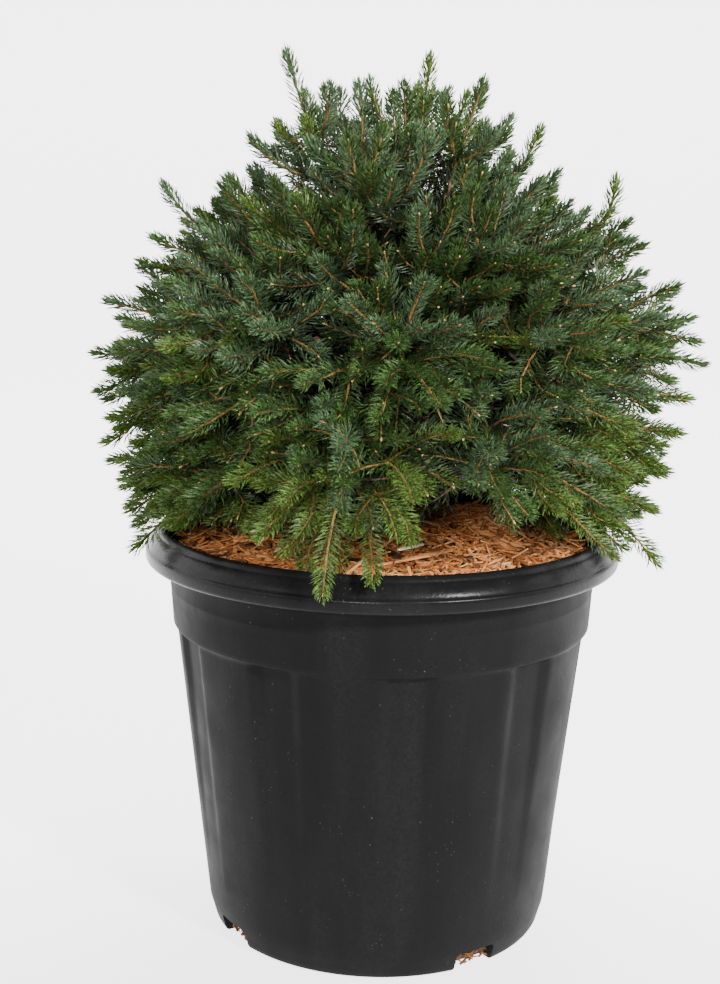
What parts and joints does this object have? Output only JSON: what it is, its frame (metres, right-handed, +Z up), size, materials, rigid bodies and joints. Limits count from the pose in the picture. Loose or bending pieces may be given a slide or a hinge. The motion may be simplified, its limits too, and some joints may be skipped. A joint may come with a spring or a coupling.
{
  "type": "potted dwarf white spruce",
  "caption": "Dense dome-shaped dwarf spruce with short needled shoots, growing in a round black nursery container filled with bark.",
  "frame": {"origin": "middle of the container's flat underside, on the ground it stands on", "axes": "+Z up along the container's axis, -Y towards the front that the picture shows, +X to the right of that front"},
  "size_m": [0.414, 0.4078, 0.587],
  "materials": {
    "pot_plastic": "black moulded plastic, satin, dusty",
    "bark_shreds": "loose shredded bark, matt",
    "trunk_bark": "scaly grey-brown bark",
    "bough_bark": "smooth orange-brown young bark",
    "needles": "dense blue-green needles, satin"
  },
  "bodies": {
    "root": {"pot": "pot_plastic", "bark_fill": "bark_shreds", "trunk": "trunk_bark", "bough_2_1": "bough_bark", "bough_2_2": "bough_bark", "bough_2_3": "bough_bark", "bough_2_4": "bough_bark", "bough_2_5": "bough_bark", "bough_3_1": "bough_bark", "bough_3_2": "bough_bark", "bough_3_3": "bough_bark", "bough_3_4": "bough_bark", "bough_3_5": "bough_bark", "bough_3_6": "bough_bark", "bough_4_1": "bough_bark", "bough_4_2": "bough_bark", "bough_4_3": "bough_bark", "bough_4_4": "bough_bark", "bough_4_5": "bough_bark", "bough_4_6": "bough_bark", "bough_4_7": "bough_bark", "bough_4_8": "bough_bark", "bough_5_1": "bough_bark", "bough_5_2": "bough_bark", "bough_5_3": "bough_bark", "bough_5_4": "bough_bark", "bough_5_5": "bough_bark", "bough_5_6": "bough_bark", "bough_5_7": "bough_bark", "bough_5_8": "bough_bark", "foliage_1_1": "needles", "foliage_2_1": "needles", "foliage_2_2": "needles", "foliage_2_3": "needles", "foliage_2_4": "needles", "foliage_2_5": "needles", "foliage_3_1": "needles", "foliage_3_2": "needles", "foliage_3_3": "needles", "foliage_3_4": "needles", "foliage_3_5": "needles", "foliage_3_6": "needles", "foliage_4_1": "needles", "foliage_4_2": "needles", "foliage_4_3": "needles", "foliage_4_4": "needles", "foliage_4_5": "needles", "foliage_4_6": "needles", "foliage_4_7": "needles", "foliage_4_8": "needles", "foliage_5_1": "needles", "foliage_5_2": "needles", "foliage_5_3": "needles", "foliage_5_4": "needles", "foliage_5_5": "needles", "foliage_5_6": "needles", "foliage_5_7": "needles", "foliage_5_8": "needles"}
  },
  "joints": []
}
